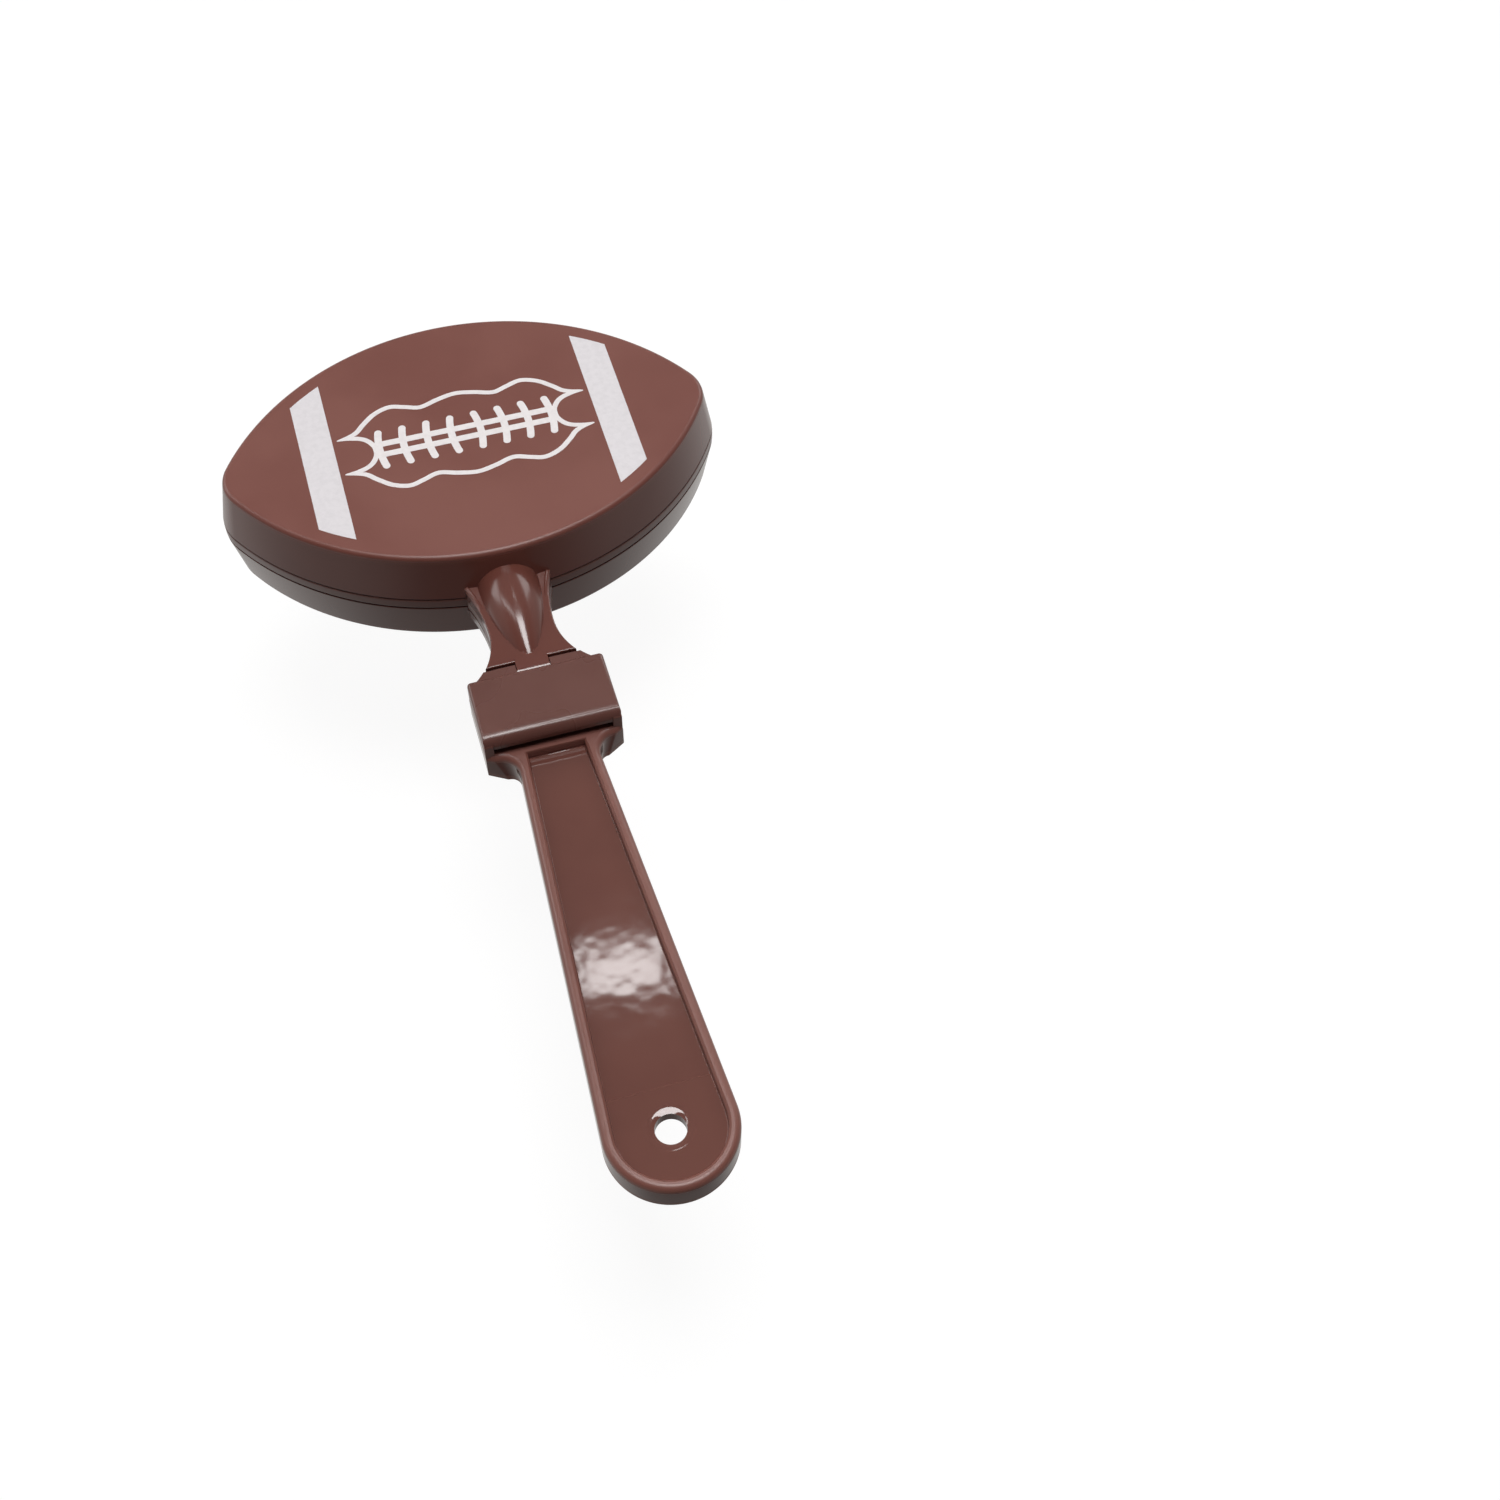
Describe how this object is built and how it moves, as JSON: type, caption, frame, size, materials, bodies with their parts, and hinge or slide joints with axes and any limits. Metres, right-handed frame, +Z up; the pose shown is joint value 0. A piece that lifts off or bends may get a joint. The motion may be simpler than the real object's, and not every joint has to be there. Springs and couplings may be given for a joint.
{
  "type": "football clapper",
  "caption": "Hand clapper shaped like a football: hollow ball halves hinged on a handle's collar strike a fixed middle paddle when it is shaken.",
  "frame": {"origin": "on the ground under the middle of the whole length, with the closed clapper lying on its back head's flat face", "axes": "+X along the ball from tip to tip, +Y along the handle from its hanging hole to the ball, +Z up out of the front face"},
  "size_m": [0.1, 0.1924, 0.023],
  "materials": {
    "handle_plastic": "brown moulded polystyrene, semi-gloss",
    "paddle_plastic": "brown moulded polystyrene, semi-gloss",
    "head_plastic": "brown moulded polystyrene, satin",
    "stripe_ink": "white pad-printed ink, thin enough to look slightly grey",
    "lace_ink": "white pad-printed ink"
  },
  "bodies": {
    "grip": {"handle": "handle_plastic", "collar_cover": "handle_plastic", "paddle": "paddle_plastic"},
    "front_clapper": {"front_head": "head_plastic", "front_stripes": "stripe_ink", "front_laces": "lace_ink", "front_lace_panel": "lace_ink"},
    "back_clapper": {"back_head": "head_plastic", "back_stripes": "stripe_ink", "back_dashes": "lace_ink"}
  },
  "joints": [
    {"name": "front_head_swing", "type": "hinge", "parent": "grip", "child": "front_clapper", "pos_m": [0, 0.00955, 0.0142], "axis": [1, 0, 0], "range_deg": [0, 25]},
    {"name": "back_head_swing", "type": "hinge", "parent": "grip", "child": "back_clapper", "pos_m": [0, 0.00955, 0.0088], "axis": [-1, 0, 0], "range_deg": [0, 25]}
  ]
}
